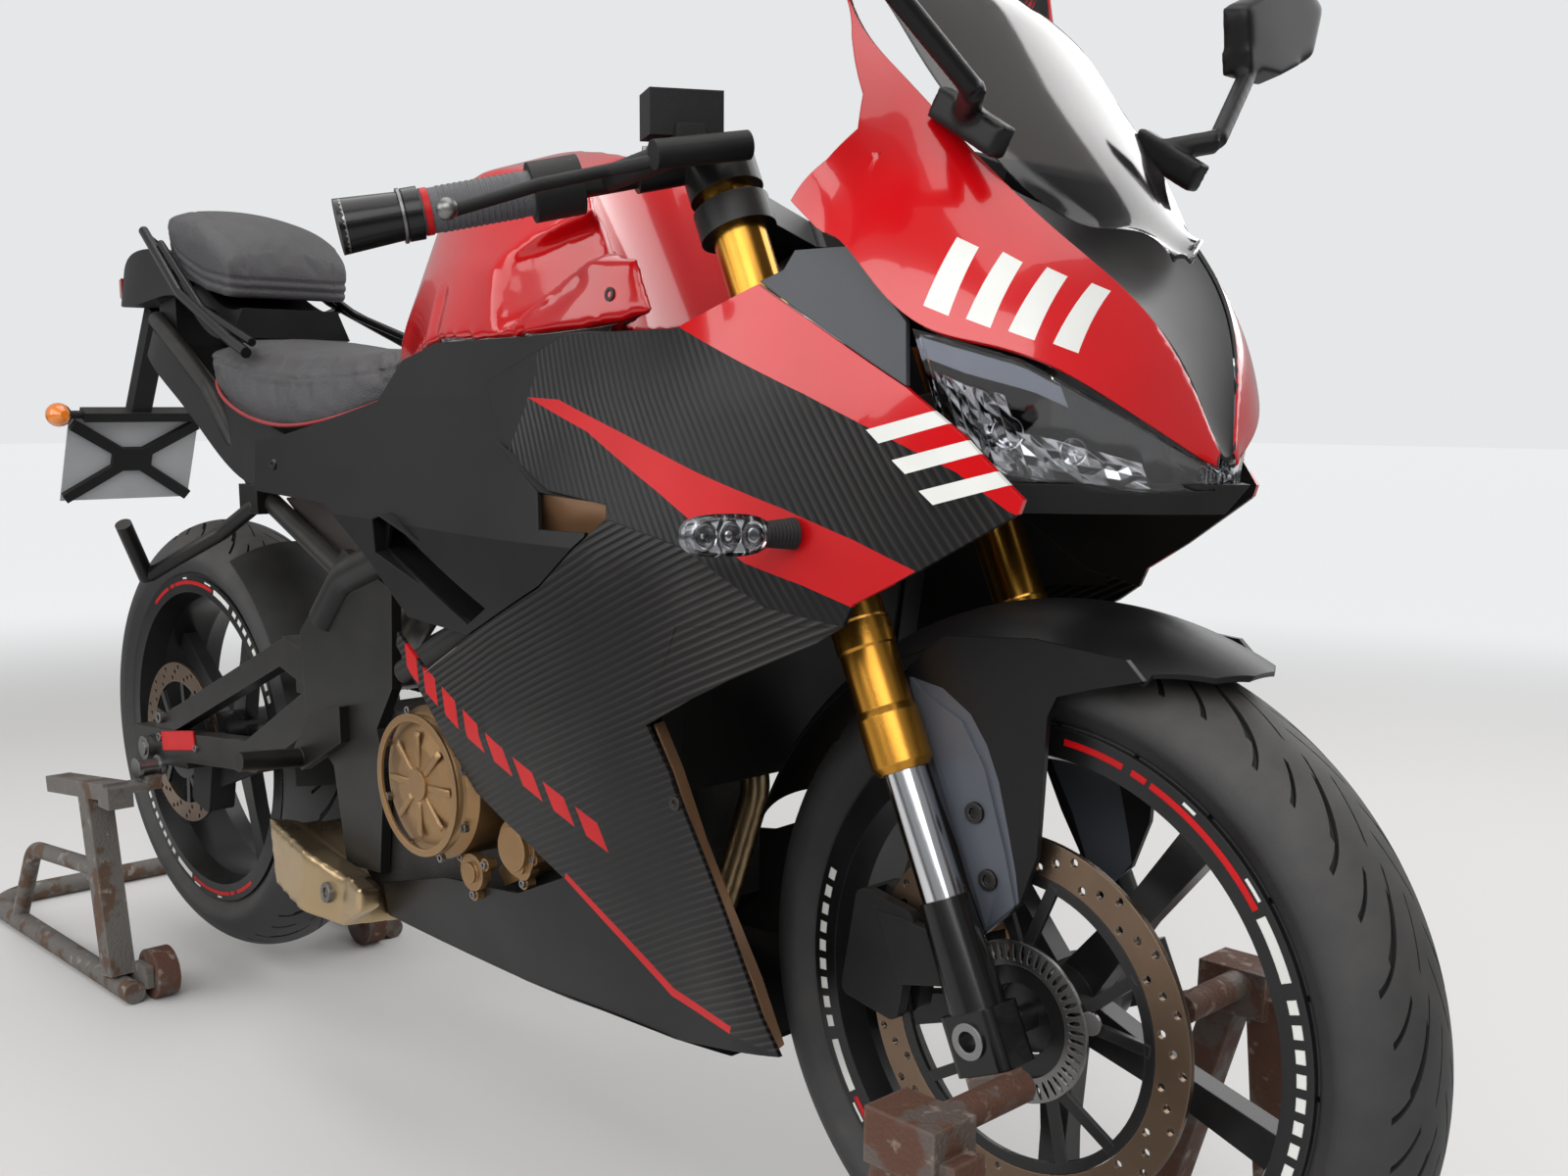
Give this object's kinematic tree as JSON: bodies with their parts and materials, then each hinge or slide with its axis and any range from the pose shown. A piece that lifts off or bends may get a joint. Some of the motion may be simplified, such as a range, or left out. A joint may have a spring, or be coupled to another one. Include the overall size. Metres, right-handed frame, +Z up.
{
  "type": "sport motorcycle on paddock stands",
  "caption": "Faired light sport motorcycle held upright by a rear paddock stand under the swingarm spools and a front stand under the fork feet; wheels, steering and side stand move.",
  "frame": {"origin": "on the floor, midway between the two stands' handle ends and in the middle plane", "axes": "+X forward, +Y the rider's left, +Z up"},
  "size_m": [2.42, 0.7452, 1.144],
  "materials": {
    "red_paint": "gloss",
    "dark_film": "fine ribbed film",
    "gloss_black": "gloss",
    "black_plastic": "moulded",
    "slate_paint": "satin",
    "smoked_screen": "polished",
    "lamp_lens": "polished",
    "red_lens": "gloss",
    "amber_lens": "gloss",
    "plate_paint": "satin",
    "seat_vinyl": "grained vinyl",
    "frame_paint": "satin",
    "engine_cast": "cast",
    "bronze_cast": "satin",
    "core_metal": "finned",
    "fork_gold": "anodised",
    "fork_chrome": "polished",
    "rim_paint": "satin",
    "tyre_rubber": "moulded",
    "grip_rubber": "ribbed",
    "disc_steel": "turned",
    "plain_steel": "brushed",
    "chain_steel": "oiled",
    "silencer_metal": "satin",
    "stand_rust": "rusty",
    "stand_grey": "dull"
  },
  "bodies": {
    "bike": {"belly_pan": "dark_film", "chain": "chain_steel", "clutch_cover": "bronze_cast", "dash": "black_plastic", "engine_block": "engine_cast", "engine_covers": "bronze_cast", "exhaust": "silencer_metal", "footrests": "frame_paint", "frame": "frame_paint", "front_stand": "stand_rust", "fuel_tank": "red_paint", "headlamps": "lamp_lens", "lower_fairings": "dark_film", "mirrors": "gloss_black", "nose_centre": "gloss_black", "nose_chin": "black_plastic", "nose_cowls": "red_paint", "nose_sides": "slate_paint", "number_plate": "plate_paint", "pillion_seat": "seat_vinyl", "plate_bracket": "black_plastic", "radiator": "core_metal", "rear_axle": "plain_steel", "rear_caliper": "gloss_black", "rear_hugger": "black_plastic", "rear_stand": "stand_grey", "rider_seat": "seat_vinyl", "shock": "plain_steel", "side_covers": "dark_film", "side_fairings": "red_paint", "swingarm": "frame_paint", "tail_cowl": "dark_film", "tail_fins": "gloss_black", "tail_lamp": "red_lens", "turn_signals": "amber_lens", "windscreen": "smoked_screen"},
    "steering": {"triple_clamps": "frame_paint", "fork_tubes": "fork_gold", "fork_sliders": "fork_chrome", "fork_lowers": "frame_paint", "handlebars": "frame_paint", "grips": "grip_rubber", "bar_controls": "black_plastic", "front_fender": "slate_paint", "front_caliper": "gloss_black", "front_axle": "plain_steel"},
    "front_wheel": {"front_tyre": "tyre_rubber", "front_rim": "rim_paint", "front_disc": "disc_steel"},
    "rear_wheel": {"rear_tyre": "tyre_rubber", "rear_rim": "rim_paint", "rear_disc": "disc_steel", "rear_sprocket": "chain_steel"},
    "side_stand": {"side_stand": "frame_paint"},
    "stand_rollers": {"stand_rollers": "stand_rust"}
  },
  "joints": [
    {"name": "steering_head", "type": "hinge", "parent": "bike", "child": "steering", "pos_m": [0.43289, 0, 0.82279], "axis": [-0.4147, 0, 0.91], "range_deg": [-26, 26]},
    {"name": "front_wheel_axle", "type": "hinge", "parent": "steering", "child": "front_wheel", "pos_m": [0.691, 0, 0.336], "axis": [0, 1, 0], "continuous": true},
    {"name": "rear_wheel_axle", "type": "hinge", "parent": "bike", "child": "rear_wheel", "pos_m": [-0.691, 0, 0.336], "axis": [0, 1, 0], "continuous": true},
    {"name": "side_stand_pivot", "type": "hinge", "parent": "bike", "child": "side_stand", "pos_m": [-0.146, 0.154, 0.258], "axis": [0, 0.9659, 0.2588], "range_deg": [-100, 0]},
    {"name": "roller_axle", "type": "hinge", "parent": "bike", "child": "stand_rollers", "pos_m": [-0.65, 0, 0.034], "axis": [0, 1, 0], "continuous": true}
  ]
}
